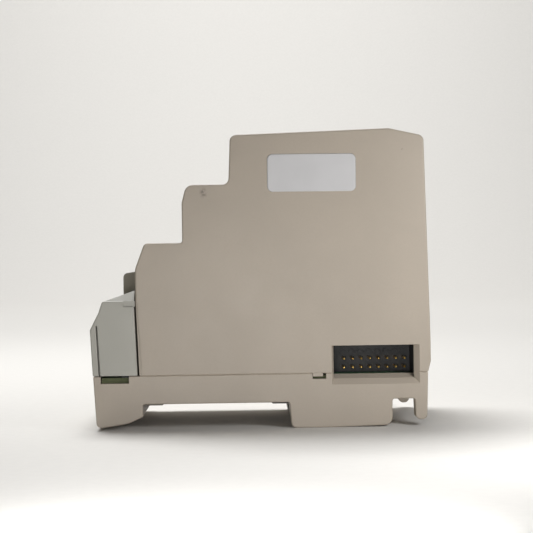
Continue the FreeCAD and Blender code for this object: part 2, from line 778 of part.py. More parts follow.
def board_screw(x, y):
    """A slotted pan-head screw that holds the main board on its post."""
    shank = rod("z", (x, y), ("floor_top + 0.6", "board_top + 0.4"), "board_screw_radius", "screw_shank")
    head = rod("z", (x, y), ("board_top", "board_top + 1.4"), "2*board_screw_radius", "board_screw_head")
    slot = box(about(x, "3*board_screw_radius"), about(y, "0.3"), ("board_top + 0.7", "board_top + 2"),
               "screw_slot")
    return cut(join([shank, head], "board_screw"), [slot], "slotted_screw")


def make_inner_boards():
    """The upright logic board with its socket, and the lamp board under the front."""
    lamp_board_low = "led_board_top - board_thickness"
    upright = about("0", "board_thickness/2")
    logic = box(("riser_left", "riser_right"), upright, ("board_top + 2.5", lamp_board_low + " - fit"),
                "logic_board")
    at_node(logic, "logic_board")
    socket = box(("riser_left + 8", "riser_left + 34"), ("-3.0", "3.0"), ("board_top", "board_top + 7.5"),
                 "socket_block")
    slot = box(("riser_left - 1", "riser_right + 1"), about("0", "board_thickness/2 + fit/2"),
               ("board_top + 2.45", "board_top + 9"), "socket_slot")
    at_node(cut(socket, [slot], "board_socket"), "board_socket")
    lamp_board = box(("panel_left + 1", "panel_left + panel_length - 1"),
                     about("0", "panel_width/2 - 1"), (lamp_board_low, "led_board_top"), "lamp_board")
    at_node(lamp_board, "lamp_board")
    connector = box(("riser_left + 12", "riser_left + 30"), ("board_thickness/2", "board_thickness/2 + 5.0"),
                    (lamp_board_low + " - 8.5", lamp_board_low), "lamp_board_connector")
    at_node(connector, "lamp_board_connector")


def make_components():
    """Packages that stand on the boards."""
    couplers = [
        box(("cover_left + 7.7", "cover_left + 14.2"), about(f"({i} - 3.5)*5.6", "2.3"),
            ("board_top", "board_top + 3.6"), "coupler")
        for i in range(POLES)
    ]
    at_node(group(couplers, "optocouplers"), "optocouplers")
    drivers = [
        box(("cover_left + 19.0", "cover_left + 29.0"), about(y, "3.7"),
            ("board_top", "board_top + 2.3"), "driver")
        for y in ("-10.5", "0", "10.5")
    ]
    at_node(group(drivers, "driver_chips"), "driver_chips")
    cans = [
        rod("z", ("bus_left - 8.5", y), ("board_top", "board_top + 17"), "4.8", "can")
        for y in ("-12.5", "12.5")
    ]
    at_node(group(cans, "supply_capacitors"), "supply_capacitors")
    chip_y = ("board_thickness/2", "board_thickness/2 + 1.5")
    at_node(box(("riser_left + 16", "riser_left + 28"), chip_y, ("40", "52"), "bus_chip"), "bus_chip")
    lamps = [
        box(about(x, "1.0"), about(y, "0.8"), ("led_board_top", "led_board_top + 1.0"), "lamp")
        for x, y in light_pipe_places()
    ]
    at_node(group(lamps, "lamps"), "lamps")


# ---------------------------------------------------------------- bus connectors


def make_bus_hood(side, name):
    """The black hood over and beside the pins, open to the side and behind."""
    wide = ("bus_left - hood", "bus_right + hood")
    shell = box(wide, behind_face(side, "side_wall + 0.15", "bus_depth + hood"),
                ("board_top", "bus_top + hood"), "hood_block")
    room = box(("bus_left", "bus_right"), behind_face(side, "side_wall - 1", "bus_depth + hood + 1"),
               ("board_top - 1", "bus_top"), "hood_room")
    sill_room = box(wide, behind_face(side, "0", "sill_depth + board_gap"),
                    ("board_top - 1", "sill_height + sill_rise + fit"), "sill_room")
    at_node(cut(shell, [room, sill_room], f"bus_hood_{name}"), f"bus_hood_{name}")


def make_bus_pins(side, name):
    """Two rows of bent square pins in a black block that stands on the main board."""
    pins, passages, arches = [], [], []
    for column in range(BUS_COLUMNS):
        middle = f"bus_first + {column}*bus_pitch"
        arches.append(bus_arch(side, middle))
        for row in range(BUS_ROWS):
            height = f"bus_row_height + {row}*bus_pitch"
            pins.append(bus_pin(side, middle, height, f"bus_depth + 3.2 + {row}*bus_pitch"))
            passages.append(box(about(middle, "bus_pin_side/2"),
                                behind_face(side, "bus_depth - 2", "bus_depth + 3"),
                                about(height, "bus_pin_side/2"), "pin_passage"))
    block = box(("bus_left + fit", "bus_right - fit"),
                behind_face(side, "bus_depth - 0.6", "bus_depth + 2.0"),
                ("board_top", "bus_top - fit"), "pin_block")
    whole = join([block] + arches, "arched_block")
    at_node(cut(whole, passages, f"bus_pin_block_{name}"), f"bus_pin_block_{name}")
    at_node(group(pins, f"bus_pins_{name}"), f"bus_pins_{name}")


def bus_pin(side, middle, height, bend):
    """One bus pin: pointed tip, straight run through the block, leg down to the board."""
    half = "bus_pin_side/2"
    x, z = about(middle, half), about(height, half)
    tip = (about(middle, "bus_pin_end/2"), about(height, "bus_pin_end/2"))
    straight_end = "bus_pin_tip + bus_pin_taper"
    straight = box(x, behind_face(side, straight_end, f"{bend} + {half}"), z, "pin_straight")
    point = flare(side, (x, z), tip, "bus_pin_tip", straight_end, "pin_point")
    leg = box(x, behind_face(side, f"{bend} - {half}", f"{bend} + {half}"), ("board_top", height), "pin_leg")
    return join([straight, point, leg], "bus_pin")


def bus_arch(side, middle):
    """The low arch moulded on the block over one column of pins."""
    centre = (middle, "bus_row_height + bus_pitch + 1.5")
    relief = behind_face(side, "bus_depth - 0.6 - bus_arch_band", "bus_depth")
    disc = rod("y", centre, relief, "bus_arch", "arch_disc")
    inside = rod("y", centre, relief, "bus_arch - bus_arch_band", "arch_inside")
    lower = box(about(middle, "bus_arch + 1"), relief, (centre[1] + " - bus_arch - 1", centre[1]),
                "arch_lower")
    return cut(disc, [inside, lower], "bus_arch")


# ---------------------------------------------------------------- front


def make_front():
    """Front panel, light pipes, marking strip with its clear cover, and the side label."""
    end = "panel_left + panel_length - 0.1"
    start = "panel_left + 0.1"
    plate = slab(
        [
            (start, front_height(start) + " - panel_thickness"),
            (start, front_height(start)),
            (end, front_height(end)),
            (end, front_height(end) + " - panel_thickness"),
        ],
        ("-panel_width/2 + 0.1", "panel_width/2 - 0.1"),
        "panel_plate",
    )
    at_node(cut(plate, lamp_holes(), "front_panel"), "front_panel")
    at_node(group([light_pipe(x, y) for x, y in light_pipe_places()], "light_pipes"), "light_pipes")
    x = ("strip_x - strip_length/2 + 0.1", "strip_x + strip_length/2 - 0.1")
    y = ("-strip_width/2 + 0.1", "strip_width/2 - 0.1")
    low = "second_step_height - strip_paper - strip_window"
    at_node(box(x, y, (low, low + " + strip_paper"), "marking_strip"), "marking_strip")
    at_node(box(x, y, (low + " + strip_paper", "second_step_height + 0.1"), "strip_cover"), "strip_cover")
    make_side_label()


def light_pipe(x, y):
    """A clear stem with a collar, from just above its lamp to just above the front."""
    start = "led_board_top + 1.4"
    stem = rod("z", (x, y), (start, front_height(x) + " + 0.15"), "pipe_radius", "pipe_stem")
    collar = rod("z", (x, y), (start, start + " + 1.0"), "pipe_radius + 0.5", "pipe_collar")
    return join([stem, collar], "light_pipe")


def make_side_label():
    """Blank label with rounded corners, stuck a little askew on the side of the cover."""
    body = doc.addObject("PartDesign::Body", "label_body")
    plate = body.newObject("PartDesign::AdditiveBox", "label_plate")
    plate.setExpression("Length", link("label_length"))
    plate.setExpression("Width", link("label_thickness"))
    plate.setExpression("Height", link("label_height"))
    plate.setExpression("Placement.Base.x", link("-label_length/2"))
    plate.setExpression("Placement.Base.z", link("-label_height/2"))
    doc.recompute()
    half_x, half_z = "label_length/2", "label_height/2"
    ends = [(f"{sx}{half_x}", f"{sz}{half_z}") for sx in ("-", "") for sz in ("-", "")]
    dress(body, "Fillet", "label_corner", along_y(*ends))
    body.Placement = FreeCAD.Placement(
        FreeCAD.Vector(), FreeCAD.Rotation(FreeCAD.Vector(0, 1, 0), SIZES["label_tilt"])
    )
    body.setExpression("Placement.Base.x", link("label_x"))
    body.setExpression("Placement.Base.y", link("-half_width - label_thickness"))
    body.setExpression("Placement.Base.z", link("label_z"))
    at_node(body, "side_label")


# ---------------------------------------------------------------- terminal plug


def pole_y(index):
    """Y formula of a terminal."""
    return f"(first_pole + {index}*pole_pitch)"


def plug_outline():
    """Corners of the terminal plug's end face."""
    return [
        ("plug_left + 0.65", "plug_low"),
        ("plug_left", "plug_low + 13.3"),
        ("plug_left + 2.55", "plug_height - 3.3"),
        ("plug_left + 3.65", "plug_height"),
        ("plug_right + 0.3", "plug_height"),
        ("plug_right + 0.3", "plug_height - 1.7"),
        ("plug_right + 1.7*lean_rate", "plug_height - 1.7"),
        ("plug_right + bay_lean", "plug_low"),
    ]


def make_plug_body():
    """The plug's housing: screw wells, wire entries and cage chambers, with a spring tongue at each end."""
    outer = slab(plug_outline(), ("-half_width", "half_width"), "plug_block")
    corners = plug_outline()
    dress(outer, "Fillet", "0.9", along_y(corners[1], corners[2], corners[3]))
    dress(outer, "Fillet", "0.4", in_side_faces(outer, "plug_low"))
    raised = slab(
        [
            ("plug_left + 4.15", "plug_height - 1"),
            ("plug_left + 4.15", "plug_height"),
            ("plug_right", "plug_height + plug_rise"),
            ("plug_right", "plug_height - 1"),
        ],
        ("-plug_inner", "plug_inner"),
        "plug_raised",
    )
    bevels = [
        slab(
            [
                (f"{side}*(plug_inner + 0.01)", "plug_height"),
                (f"{side}*(plug_inner + 0.01)", "plug_height + 4"),
                (f"{side}*(plug_inner - 4)", "plug_height + 4"),
            ],
            ("plug_left", "plug_left + bay_depth"),
            "hip",
            "YZ_Plane",
        )
        for side in (-1, 1)
    ]
    whole = join([outer, cut(raised, bevels, "plug_hipped")], "plug_solid")
    tools = [
        box(("plug_left + 2.25", "plug_right - 0.7"), about("0", "plug_inner - pole_wall"),
            ("plug_low - 1", "plug_deck"), "plug_foot_room"),
    ]
    for i in range(POLES):
        tools += pole_rooms(pole_y(i))
    for side in (-1, 1):
        tools.append(
            slab(
                [
                    ("plug_left + 1.7", "plug_low + 14.5"),
                    ("plug_left + 1.7 + tongue_slit", "plug_low + 14.5"),
                    ("plug_left + 2.45 + tongue_slit", "plug_low - 1"),
                    ("plug_left + 2.45", "plug_low - 1"),
                ],
                through_wall(side, "1", "tongue_thickness + 0.6"),
                "tongue_slit",
            )
        )
        tools.append(box(("plug_left + 2.25", "plug_right - 0.6"),
                         behind_face(side, "tongue_thickness", "half_width - plug_inner"),
                         ("plug_low - 1", "plug_height - 3"), "tongue_gap"))
        tools.append(box(("plug_right - 3.1", "plug_right + 1"), through_wall(side, "1", "0.5"),
                         ("plug_height - 1.7", "plug_height + 1"), "end_notch"))
    grip_z = ("plug_height - grip_depth", "plug_height + 9")
    tools.append(box(("grip_left", "grip_right"), ("grip_inner", "grip_outer"), grip_z, "grip_slot"))
    at_node(cut(whole, tools, "terminal_plug"), "terminal_plug")


def pole_rooms(y):
    """Tools for one terminal: cage chamber, contact chamber, screw bore and well, wire entry."""
    screw = ("terminal_x", y)
    return [
        box(("cage_left - 0.25", "cage_right + 0.25"), about(y, "(pole_pitch - pole_wall)/2"),
            ("plug_deck - 0.1", "cage_roof"), "cage_room"),
        box(("cage_right", "socket_right + 0.2"), about(y, "1.4"),
            ("plug_deck - 0.1", "bar_height + bar_thickness + 0.1"), "contact_room"),
        rod("z", screw, ("cage_roof - 0.1", "screw_seat + 1"), "screw_radius + fit", "screw_bore"),
        rod("z", screw, ("screw_seat", "plug_height + plug_rise + 1"), "screw_head + 0.2", "screw_well"),
        box(("plug_left - 1", "cage_left"), about(y, "1.85"),
            ("bar_height - entry_height", "bar_height + 0.1"), "wire_entry"),
    ]


def make_plug_foot():
    """Bottom plate of the plug, which keeps the cages in and lets the pins through."""
    plate = box(("plug_left + 2.35", "plug_right - 0.8"), about("0", "plug_inner - pole_wall - fit"),
                ("plug_low + 0.05", "plug_deck - 0.05"), "foot_plate")
    strip_low, strip_high = pin_strip_span()
    room = box(("pin_x - 1.7", "pin_x + 1.7 + pin_play"), (strip_low + " - 0.2", strip_high + " + 0.2"),
               ("plug_low - 1", "board_top + pin_strip_height + 0.3"), "strip_room")
    entries = [
        box(("pin_x - pin_side/2 - 0.15", "pin_x + pin_side/2 + 0.15 + pin_play"),
            about(pole_y(i), "pin_side/2 + 0.15"), ("plug_low - 1", "plug_deck + 1"), "pin_entry")
        for i in range(POLES)
    ]
    at_node(cut(plate, [room] + entries, "terminal_plug_foot"), "terminal_plug_foot")


def make_plug_contacts():
    """One contact per terminal: a bar over the wire, and two leaves that grip the pin."""
    at_node(group([plug_contact(pole_y(i)) for i in range(POLES)], "plug_contacts"), "plug_contacts")


def plug_contact(y):
    """The bar and leaves of one terminal."""
    width = about(y, "contact_width/2")
    leaf_z = ("plug_deck + 0.2", "bar_height")
    bar_z = ("bar_height", "bar_height + bar_thickness")
    bar = box(("cage_left - 0.1", "socket_right"), width, bar_z, "bar")
    near_leaf = box(("socket_left", "socket_left + leaf"), width, leaf_z, "leaf")
    far_leaf = box(("socket_right - leaf", "socket_right"), width, leaf_z, "leaf")
    return join([bar, near_leaf, far_leaf], "contact")


def make_terminal_screw(index):
    """One slotted clamping screw."""
    y = pole_y(index)
    screw = ("terminal_x", y)
    shank_z = ("bar_height + bar_thickness + 0.05", "screw_seat + 0.5")
    shank = rod("z", screw, shank_z, "screw_radius", "shank")
    head = rod("z", screw, ("screw_seat + 0.02", "screw_seat + 1.8"), "screw_head", "head")
    slot = box(about("terminal_x", "screw_head + 0.25"), about(y, "0.3"),
               ("screw_seat + 0.9", "screw_seat + 3"), "slot")
    label = f"terminal_screw_{index + 1}"
    at_node(cut(join([shank, head], "screw_blank"), [slot], label), label)


def make_clamp_cage(index):
    """The cage that a clamping screw raises against the contact bar."""
    y = pole_y(index)
    top = "cage_bottom + cage_height"
    frame = box(("cage_left", "cage_right"), about(y, "cage_width/2"), ("cage_bottom", top), "cage_block")
    room = box(("cage_left - 1", "cage_right + 1"), about(y, "cage_width/2 - cage_wall"),
               ("cage_bottom + 1.0", top + " - 1.4"), "cage_room")
    thread = rod("z", ("terminal_x", y), ("cage_bottom + 2", top + " + 1"), "screw_radius + 0.05",
                 "cage_thread")
    label = f"clamp_cage_{index + 1}"
    at_node(cut(frame, [room, thread], label), label)


def pin_strip_span():
    """Y formulas of the ends of the strip round the terminal pins."""
    return "first_pole - pole_pitch/2", pole_y(POLES - 1) + " + pole_pitch/2"


def make_terminal_pins():
    """Square pins that stand on the main board in a low strip."""
    strip = box(about("pin_x", "1.5"), pin_strip_span(), ("board_top", "board_top + pin_strip_height"),
                "strip_block")
    spans = [(about("pin_x", "pin_side/2"), about(pole_y(i), "pin_side/2")) for i in range(POLES)]
    holes = [box(x, y, ("board_top - 1", "board_top + 4"), "strip_hole") for x, y in spans]
    at_node(cut(strip, holes, "pin_strip"), "pin_strip")
    pins = [box(x, y, ("board_low - 1.2", "bar_height - 1.2"), "terminal_pin") for x, y in spans]
    at_node(group(pins, "terminal_pins"), "terminal_pins")


def make_grip():
    """Pull grip that stands out of the plug's far end, ribbed on its outer face."""
    low = "plug_height - grip_depth + fit"
    plate = slab(
        [
            ("grip_left + fit", low),
            ("grip_left + fit", "plug_height + grip_height"),
            ("grip_right - fit", "plug_height + grip_height + 0.85"),
            ("grip_right - fit", low),
        ],
        ("grip_inner + fit", "grip_outer - fit"),
        "grip_plate",
    )
    dress(plate, "Fillet", "1.5", along_y(("grip_left + fit", "plug_height + grip_height")))
    grooves = [
        box(("grip_left + 1.2", "grip_right + 1"), ("grip_outer - 0.5", "grip_outer + 1"),
            (z, z + " + 0.7"), "grip_groove")
        for z in (f"plug_height + 2.6 + {i}*1.4" for i in range(GRIP_GROOVES))
    ]
    at_node(cut(plate, grooves, "plug_grip"), "plug_grip")


def check_and_write():
    """Stops on any failed object, then writes each sub-part to its own STEP file."""
    doc.recompute()
    for obj in doc.Objects:
        if "Invalid" in obj.State or "Error" in obj.State:
            raise RuntimeError(f"{obj.Label} failed: {obj.State}")
    os.makedirs("parts", exist_ok=True)
    for old in os.listdir("parts"):
        os.remove(os.path.join("parts", old))
    for label in node_labels:
        shape = doc.getObjectsByLabel(label)[0].Shape
        if shape.isNull() or not shape.isValid() or not shape.Solids:
            raise RuntimeError(f"{label} has no valid solid")
        shape.exportStep(os.path.join("parts", label + ".step"))
        print(f"{label}: {len(shape.Solids)} solids, {shape.Volume:.1f} mm3")


def main():
    """Builds the whole module."""
    fill_sheet()
    make_base()
    make_cover()
    make_rail_latch()
    make_latch_spring()
    make_main_board()
    make_inner_boards()
    make_components()
    for side, name in ((-1, "in"), (1, "out")):
        make_bus_hood(side, name)
        make_bus_pins(side, name)
    make_front()
    make_plug_body()
    make_plug_foot()
    make_plug_contacts()
    for index in range(POLES):
        make_terminal_screw(index)
        make_clamp_cage(index)
    make_terminal_pins()
    make_grip()
    check_and_write()


main()
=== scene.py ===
"""An input and output module for a programmable controller, finished and set on a studio stage.

The case, plug, boards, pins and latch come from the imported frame. This script gives each of them the
finish of its real material, adds the thin and sprung pieces that need a surface of their own, and
stands the module in front of the camera. Everything is in metres, in the frame's own axes.
"""

import math

import bpy
import numpy as np
from bpy.props import FloatProperty, FloatVectorProperty, PointerProperty
from mathutils import Matrix, Vector


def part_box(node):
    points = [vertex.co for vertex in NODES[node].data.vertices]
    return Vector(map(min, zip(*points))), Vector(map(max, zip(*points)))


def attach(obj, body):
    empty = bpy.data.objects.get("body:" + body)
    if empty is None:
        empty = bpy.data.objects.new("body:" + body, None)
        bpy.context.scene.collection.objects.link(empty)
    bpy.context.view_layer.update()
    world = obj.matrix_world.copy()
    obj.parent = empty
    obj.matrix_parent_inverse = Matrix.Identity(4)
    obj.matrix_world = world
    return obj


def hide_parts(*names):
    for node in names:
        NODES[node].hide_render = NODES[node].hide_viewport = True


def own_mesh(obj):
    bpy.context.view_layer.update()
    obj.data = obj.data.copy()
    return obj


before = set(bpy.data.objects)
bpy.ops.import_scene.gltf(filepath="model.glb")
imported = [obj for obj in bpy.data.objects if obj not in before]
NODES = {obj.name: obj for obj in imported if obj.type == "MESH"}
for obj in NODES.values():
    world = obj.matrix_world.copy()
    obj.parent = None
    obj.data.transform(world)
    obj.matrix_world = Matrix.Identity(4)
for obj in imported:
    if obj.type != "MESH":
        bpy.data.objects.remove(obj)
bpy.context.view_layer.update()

bl_info = {
    "name": "Controller Module",
    "version": (1, 0, 0),
    "blender": (4, 5, 0),
    "location": "View3D > Sidebar > Controller Module",
    "description": "Finishes a rail-mounted controller module and sets it on a studio stage",
    "category": "Object",
}

MM = 0.001
POLES = 8


# ---------------------------------------------------------------- helpers


def linear(hex_colour):
    """The linear RGB of an sRGB hex value."""
    parts = [int(hex_colour[i : i + 2], 16) / 255 for i in (1, 3, 5)]
    return tuple(c / 12.92 if c <= 0.04045 else ((c + 0.055) / 1.055) ** 2.4 for c in parts)


def colour_property(name, description, hex_colour):
    """A colour that a user may change."""
    limits = {"size": 3, "min": 0.0, "max": 1.0}
    return FloatVectorProperty(
        name=name, description=description, subtype="COLOR", default=linear(hex_colour), **limits
    )


def length_property(name, description, millimetres):
    """A length that a user may change, kept in metres."""
    return FloatProperty(
        name=name, description=description, default=millimetres * MM, min=0.0, unit="LENGTH", precision=5
    )


def plain_property(name, description, value, **kind):
    """A number that a user may change."""
    return FloatProperty(name=name, description=description, default=value, min=0.0, **kind)


def add(tree, kind, inputs=None, **settings):
    """Adds one shader node, sets its properties, and sets or links its inputs."""
    made = tree.nodes.new(kind)
    for key, value in settings.items():
        setattr(made, key, value)
    for key, value in (inputs or {}).items():
        if isinstance(value, bpy.types.NodeSocket):
            tree.links.new(value, made.inputs[key])
        else:
            made.inputs[key].default_value = value
    return made


def rgba(colour):
    """A colour with full opacity."""
    return (*tuple(colour)[:3], 1.0)


def shade(colour, factor):
    """A colour made lighter or darker."""
    return tuple(min(1.0, c * factor) for c in tuple(colour)[:3])


def new_material(name):
    """An empty material with its node tree, its shader and its Object coordinates."""
    material = bpy.data.materials.new(name)
    material.use_nodes = True
    tree = material.node_tree
    tree.nodes.clear()
    shader = add(tree, "ShaderNodeBsdfPrincipled")
    add(tree, "ShaderNodeOutputMaterial", {"Surface": shader.outputs["BSDF"]})
    place = add(tree, "ShaderNodeTexCoord").outputs["Object"]
    return material, tree, shader, place


def drive(tree, shader, **values):
    """Sets or links inputs of the shader, named with _ for a space."""
    for key, value in values.items():
        socket = shader.inputs[key.replace("_", " ")]
        if isinstance(value, bpy.types.NodeSocket):
            tree.links.new(value, socket)
        elif socket.type == "RGBA":
            socket.default_value = rgba(value)
        else:
            socket.default_value = value


def noise(tree, place, size_mm, detail=2.0, roughness=0.55, distortion=0.0):
    """Soft noise whose features are about size_mm across, 0 to 1."""
    inputs = {
        "Vector": place,
        "Scale": 1.0 / (size_mm * MM),
        "Detail": detail,
        "Roughness": roughness,
        "Distortion": distortion,
    }
    return add(tree, "ShaderNodeTexNoise", inputs).outputs["Fac"]


def ramp(tree, value, low, high, out_low=0.0, out_high=1.0):
    """Maps value from low..high onto out_low..out_high, smoothly and held at both ends."""
    inputs = {"Value": value, "From Min": low, "From Max": high, "To Min": out_low, "To Max": out_high}
    return add(tree, "ShaderNodeMapRange", inputs, interpolation_type="SMOOTHSTEP").outputs["Result"]


def calc(tree, operation, first, second=0.0):
    """One step of arithmetic."""
    return add(tree, "ShaderNodeMath", {0: first, 1: second}, operation=operation).outputs["Value"]


def blend(tree, share, first, second):
    """The colour between first and second."""
    # A mix node carries a set of sockets for each kind of data; these are the ones for colour.
    factor, low, high, result = 0, 6, 7, 2
    first, second = (c if isinstance(c, bpy.types.NodeSocket) else rgba(c) for c in (first, second))
    made = add(tree, "ShaderNodeMix", data_type="RGBA")
    for socket, value in ((factor, share), (low, first), (high, second)):
        if isinstance(value, bpy.types.NodeSocket):
            tree.links.new(value, made.inputs[socket])
        else:
            made.inputs[socket].default_value = value
    return made.outputs[result]


def axis_value(tree, vector, axis):
    """One coordinate of a vector."""
    return add(tree, "ShaderNodeSeparateXYZ", {"Vector": vector}).outputs[axis]


def near_point(tree, place, point_mm, reach_mm, stretch=(1, 1, 1)):
    """1 at a point of the piece, falling to 0 at reach_mm; stretch shortens the reach along an axis."""
    inputs = {
        "Vector": place,
        "Location": [-p * MM * s for p, s in zip(point_mm, stretch)],
        "Scale": stretch,
    }
    moved = add(tree, "ShaderNodeMapping", inputs).outputs["Vector"]
    away = add(tree, "ShaderNodeVectorMath", {0: moved}, operation="LENGTH").outputs["Value"]
    return ramp(tree, away, reach_mm * MM, 0.0)


def rounded_edges(tree, radius_mm):
    """The normal rounded over sharp edges, and a mask of where those edges are."""
    bevel = add(tree, "ShaderNodeBevel", {"Radius": radius_mm * MM}, samples=6).outputs["Normal"]
    true = add(tree, "ShaderNodeNewGeometry").outputs["Normal"]
    match = add(tree, "ShaderNodeVectorMath", {0: bevel, 1: true}, operation="DOT_PRODUCT")
    return bevel, ramp(tree, match.outputs["Value"], 0.995, 0.85)


def bump(tree, height, depth_mm, normal=None):
    """A bump whose full height is depth_mm."""
    inputs = {"Height": height, "Distance": depth_mm * MM, "Strength": 1.0}
    if normal is not None:
        inputs["Normal"] = normal
    return add(tree, "ShaderNodeBump", inputs).outputs["Normal"]


def paint(nodes, material):
    """Gives CAD nodes or new pieces one material."""
    for item in nodes:
        obj = NODES[item] if isinstance(item, str) else item
        obj.data.materials.clear()
        obj.data.materials.append(material)


def new_piece(name, points, faces, body, material, replaces=()):
    """Puts a worked-out surface into the scene as a piece that rides on a body."""
    mesh = bpy.data.meshes.new(name)
    mesh.from_pydata(points.reshape(-1, 3).tolist(), [], faces)
    mesh.polygons.foreach_set("use_smooth", np.ones(len(mesh.polygons), bool))
    mesh.update()
    obj = bpy.data.objects.new(name, mesh)
    bpy.context.scene.collection.objects.link(obj)
    paint([obj], material)
    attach(obj, body)
    if replaces:
        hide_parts(*replaces)
    return obj


def grid_faces(rows, columns, wrap_rows=False, wrap_columns=False):
    """Quads over a grid of points, row by row, joined round where asked."""
    r = np.arange(rows if wrap_rows else rows - 1)
    c = np.arange(columns if wrap_columns else columns - 1)
    r, c = np.meshgrid(r, c, indexing="ij")
    r2, c2 = (r + 1) % rows, (c + 1) % columns
    quads = np.stack([r * columns + c, r * columns + c2, r2 * columns + c2, r2 * columns + c], axis=-1)
    return quads.reshape(-1, 4)


# ---------------------------------------------------------------- plastics


def moulded_plastic(name, colour, roughness, grain_mm, grain_depth_mm, round_mm, wear, mottle, marks=()):
    """An injection-moulded plastic: grain of a spark-eroded mould, faint flow clouds, edges rubbed lighter."""
    material, tree, shader, place = new_material(name)
    grain = noise(tree, place, grain_mm, detail=3.0, roughness=0.6)
    clouds = noise(tree, place, 24.0, detail=3.0, distortion=0.4)
    handled = noise(tree, place, 9.0, detail=4.0, roughness=0.65)
    normal, edge = rounded_edges(tree, round_mm)
    rubbed = calc(tree, "MULTIPLY", edge, calc(tree, "MULTIPLY", ramp(tree, handled, 0.3, 0.6), wear))
    darker, lighter = shade(colour, 1.0 - mottle), shade(colour, 1.0 + mottle)
    tone = blend(tree, ramp(tree, clouds, 0.3, 0.7), darker, lighter)
    tone = blend(tree, ramp(tree, grain, 0.35, 0.75, 0.0, 0.25), tone, shade(colour, 0.9))
    for point, reach, stretch, strength in marks:
        smear = calc(tree, "MULTIPLY", near_point(tree, place, point, reach, stretch), strength)
        smear = calc(tree, "MULTIPLY", smear, ramp(tree, noise(tree, place, 1.1), 0.35, 0.6))
        tone = blend(tree, smear, tone, shade(colour, 0.25))
    tone = blend(tree, rubbed, tone, shade(colour, 1.35))
    gloss = ramp(tree, handled, 0.35, 0.8, roughness, roughness - 0.08)
    pitted = bump(tree, grain, grain_depth_mm, normal)
    drive(tree, shader, Base_Color=tone, Roughness=gloss, IOR=1.53, Normal=pitted)
    return material


def printed_film(name, colour, line_colour, roughness=0.42):
    """Screen-printed polyester film: fine even tooth, a thin printed frame and rules between the lamps."""
    material, tree, shader, place = new_material(name)
    low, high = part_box("front_panel")
    tooth = noise(tree, place, 0.35, detail=2.0)
    clouds = noise(tree, place, 18.0)
    x, y = axis_value(tree, place, "X"), axis_value(tree, place, "Y")
    inset_x = calc(tree, "MINIMUM", calc(tree, "SUBTRACT", x, low.x), calc(tree, "SUBTRACT", high.x, x))
    inset_y = calc(tree, "MINIMUM", calc(tree, "SUBTRACT", y, low.y), calc(tree, "SUBTRACT", high.y, y))
    inset = calc(tree, "MINIMUM", inset_x, inset_y)
    line_inset, half_line = 2.0 * MM, 0.15 * MM
    comparison = {0: inset, 1: line_inset, 2: half_line}
    frame_line = add(tree, "ShaderNodeMath", comparison, operation="COMPARE").outputs["Value"]
    tone = blend(tree, ramp(tree, clouds, 0.3, 0.7), shade(colour, 0.96), shade(colour, 1.04))
    tone = blend(tree, frame_line, tone, line_colour)
    drive(tree, shader, Base_Color=tone, Roughness=roughness, IOR=1.6, Normal=bump(tree, tooth, 0.006))
    return material


def clear_plastic(name, tint):
    """Clear moulded polycarbonate: glassy, with very faint waviness from the mould."""
    material, tree, shader, place = new_material(name)
    wave = noise(tree, place, 2.5, detail=1.0)
    haze = ramp(tree, noise(tree, place, 0.8), 0.3, 0.8, 0.06, 0.14)
    drive(
        tree,
        shader,
        Base_Color=tint,
        Roughness=haze,
        IOR=1.585,
        Transmission_Weight=1.0,
        Normal=bump(tree, wave, 0.02),
    )
    return material


# ---------------------------------------------------------------- metals


def plated_metal(name, colour, roughness, streak_mm, streak_depth_mm, tarnish):
    """A plated metal: fine drawing streaks along the piece and a little cloudy tarnish."""
    material, tree, shader, place = new_material(name)
    drawn_out = (1.0, 1.0, 0.12)
    stretched = add(tree, "ShaderNodeMapping", {"Vector": place, "Scale": drawn_out}).outputs["Vector"]
    streaks = noise(tree, stretched, streak_mm, detail=2.0)
    clouds = noise(tree, place, 1.6, detail=3.0)
    normal, edge = rounded_edges(tree, 0.05)
    tone = blend(tree, ramp(tree, clouds, 0.35, 0.75), colour, shade(colour, 1.0 - tarnish))
    tone = blend(tree, calc(tree, "MULTIPLY", edge, 0.4), tone, shade(colour, 1.2))
    gloss = ramp(tree, clouds, 0.3, 0.8, roughness, roughness + 0.12)
    drive(
        tree,
        shader,
        Base_Color=tone,
        Metallic=1.0,
        Roughness=gloss,
        Normal=bump(tree, streaks, streak_depth_mm, normal),
    )
    return material


# ---------------------------------------------------------------- boards and paper


